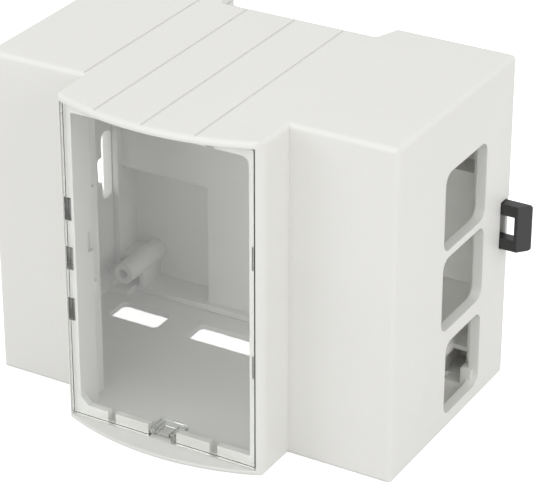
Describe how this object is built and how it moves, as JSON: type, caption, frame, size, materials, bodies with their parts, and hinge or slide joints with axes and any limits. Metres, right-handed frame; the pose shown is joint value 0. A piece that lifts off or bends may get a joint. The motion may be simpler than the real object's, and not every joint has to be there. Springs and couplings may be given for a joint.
{
  "type": "din rail enclosure",
  "caption": "Stepped modular housing for a DIN rail, with a crowned nose, clear front panel, open wiring ports and a black pull latch.",
  "frame": {"origin": "middle of the face that seats on the rail, halfway across and halfway along the case", "axes": "+X across the rail towards the latch, -Y out of the front, +Z along the rail; the case stands on its side wall"},
  "size_m": [0.0958, 0.0635, 0.071],
  "materials": {
    "grey_case": "fine matt moulded ABS",
    "grey_base": "fine matt moulded ABS",
    "clear_panel": "clear polished polycarbonate",
    "black_latch": "satin moulded acetal"
  },
  "bodies": {
    "case": {"cover": "grey_case", "base_plate": "grey_base"},
    "panel": {"front_panel": "clear_panel"},
    "latch": {"rail_latch": "black_latch"}
  },
  "joints": [
    {"name": "latch_slide", "type": "slide", "parent": "case", "child": "latch", "axis": [1, 0, 0], "range_m": [0, 0.004], "stiffness_N_per_m": 400, "springref_m": -0.001},
    {"name": "panel_slide", "type": "slide", "parent": "case", "child": "panel", "axis": [0, -1, 0], "range_m": [0, 0.012]}
  ]
}
